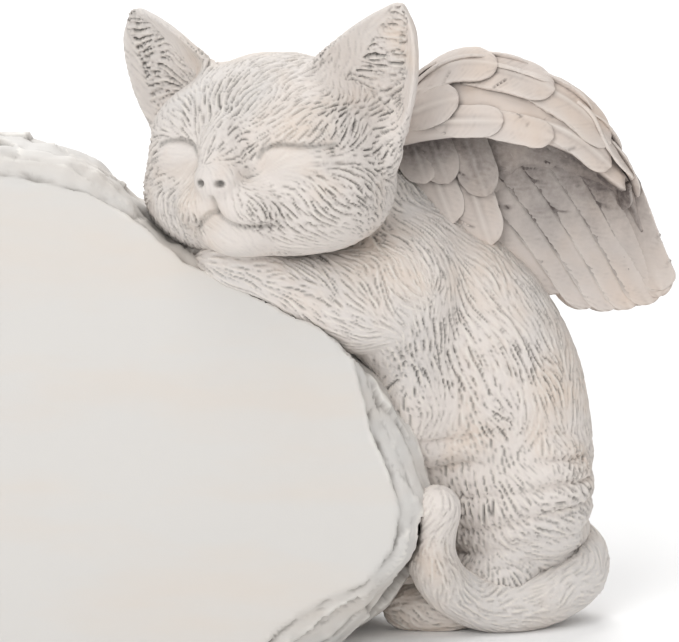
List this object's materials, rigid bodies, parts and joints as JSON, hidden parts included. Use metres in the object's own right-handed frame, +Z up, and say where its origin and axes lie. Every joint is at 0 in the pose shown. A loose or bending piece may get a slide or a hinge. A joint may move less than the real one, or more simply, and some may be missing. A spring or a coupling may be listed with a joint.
{
  "type": "memorial figurine",
  "caption": "Cast resin kitten with feathered angel wings, asleep on the sloping shoulder of a blank memorial stone.",
  "frame": {"origin": "on the ground, under the middle of the whole figurine's bounding box", "axes": "+Z up; +X to the right as the blank face is read, towards the kitten; -Y out of the blank face, towards the viewer"},
  "size_m": [0.275, 0.0854, 0.1475],
  "materials": {
    "stone_paint": "stone-filled polyester resin, matt cream-grey paint with a faint peach wash",
    "fur_paint": "stone-filled polyester resin, matt cream paint with a grey wash left in the carved fur",
    "feather_paint": "stone-filled polyester resin, matt cream paint with a grey wash between the feathers",
    "steel_pin": "plain cut steel wire"
  },
  "bodies": {
    "root": {"memorial_stone": "stone_paint", "kitten_torso": "fur_paint", "kitten_head": "fur_paint", "left_foreleg": "fur_paint", "right_foreleg": "fur_paint", "tail": "fur_paint", "left_wing": "feather_paint", "right_wing": "feather_paint", "neck_dowel": "steel_pin", "left_wing_dowel": "steel_pin", "right_wing_dowel": "steel_pin", "upper_stone_dowel": "steel_pin", "lower_stone_dowel": "steel_pin"}
  },
  "joints": []
}
